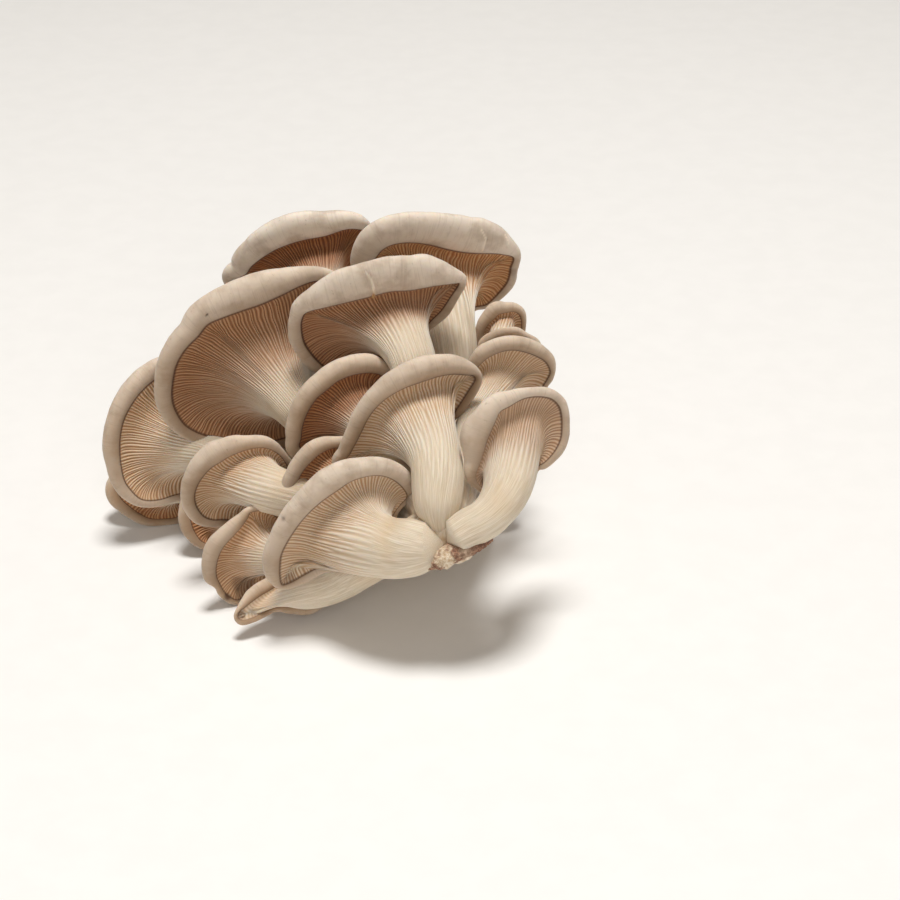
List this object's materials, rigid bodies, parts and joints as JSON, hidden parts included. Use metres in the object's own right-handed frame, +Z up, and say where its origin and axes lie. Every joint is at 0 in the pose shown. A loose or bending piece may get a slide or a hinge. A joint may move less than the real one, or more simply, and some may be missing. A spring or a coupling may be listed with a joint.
{
  "type": "oyster mushroom cluster",
  "caption": "Cluster of oyster mushrooms grown from one base, lying on its side with gilled cap undersides facing forward.",
  "frame": {"origin": "centre of the footprint's bounding box, on the surface that the cluster lies on", "axes": "+Z up; -Y towards the side where the stems meet and the gills are seen; +X along the cluster's length, from the largest caps towards the small right-hand caps"},
  "size_m": [0.1908, 0.1694, 0.1333],
  "materials": {
    "mushroom_flesh": "matt, slightly velvety",
    "base_flesh": "matt, fibrous",
    "substrate": "rough, crumbly"
  },
  "bodies": {
    "root": {"mushroom_top_left": "mushroom_flesh", "mushroom_top_right": "mushroom_flesh", "mushroom_large_left": "mushroom_flesh", "mushroom_upper_middle": "mushroom_flesh", "mushroom_far_left": "mushroom_flesh", "mushroom_centre_front": "mushroom_flesh", "mushroom_middle": "mushroom_flesh", "mushroom_left_front": "mushroom_flesh", "mushroom_lower_front": "mushroom_flesh", "mushroom_right_front": "mushroom_flesh", "mushroom_bottom": "mushroom_flesh", "mushroom_small_centre": "mushroom_flesh", "mushroom_lower_left": "mushroom_flesh", "mushroom_right_back": "mushroom_flesh", "mushroom_lower_left_back": "mushroom_flesh", "mushroom_far_left_under": "mushroom_flesh", "mushroom_rear_left": "mushroom_flesh", "mushroom_rear_right": "mushroom_flesh", "button_right_upper": "mushroom_flesh", "button_right_lower": "mushroom_flesh", "base_clump": "base_flesh", "substrate_crust": "substrate"}
  },
  "joints": []
}
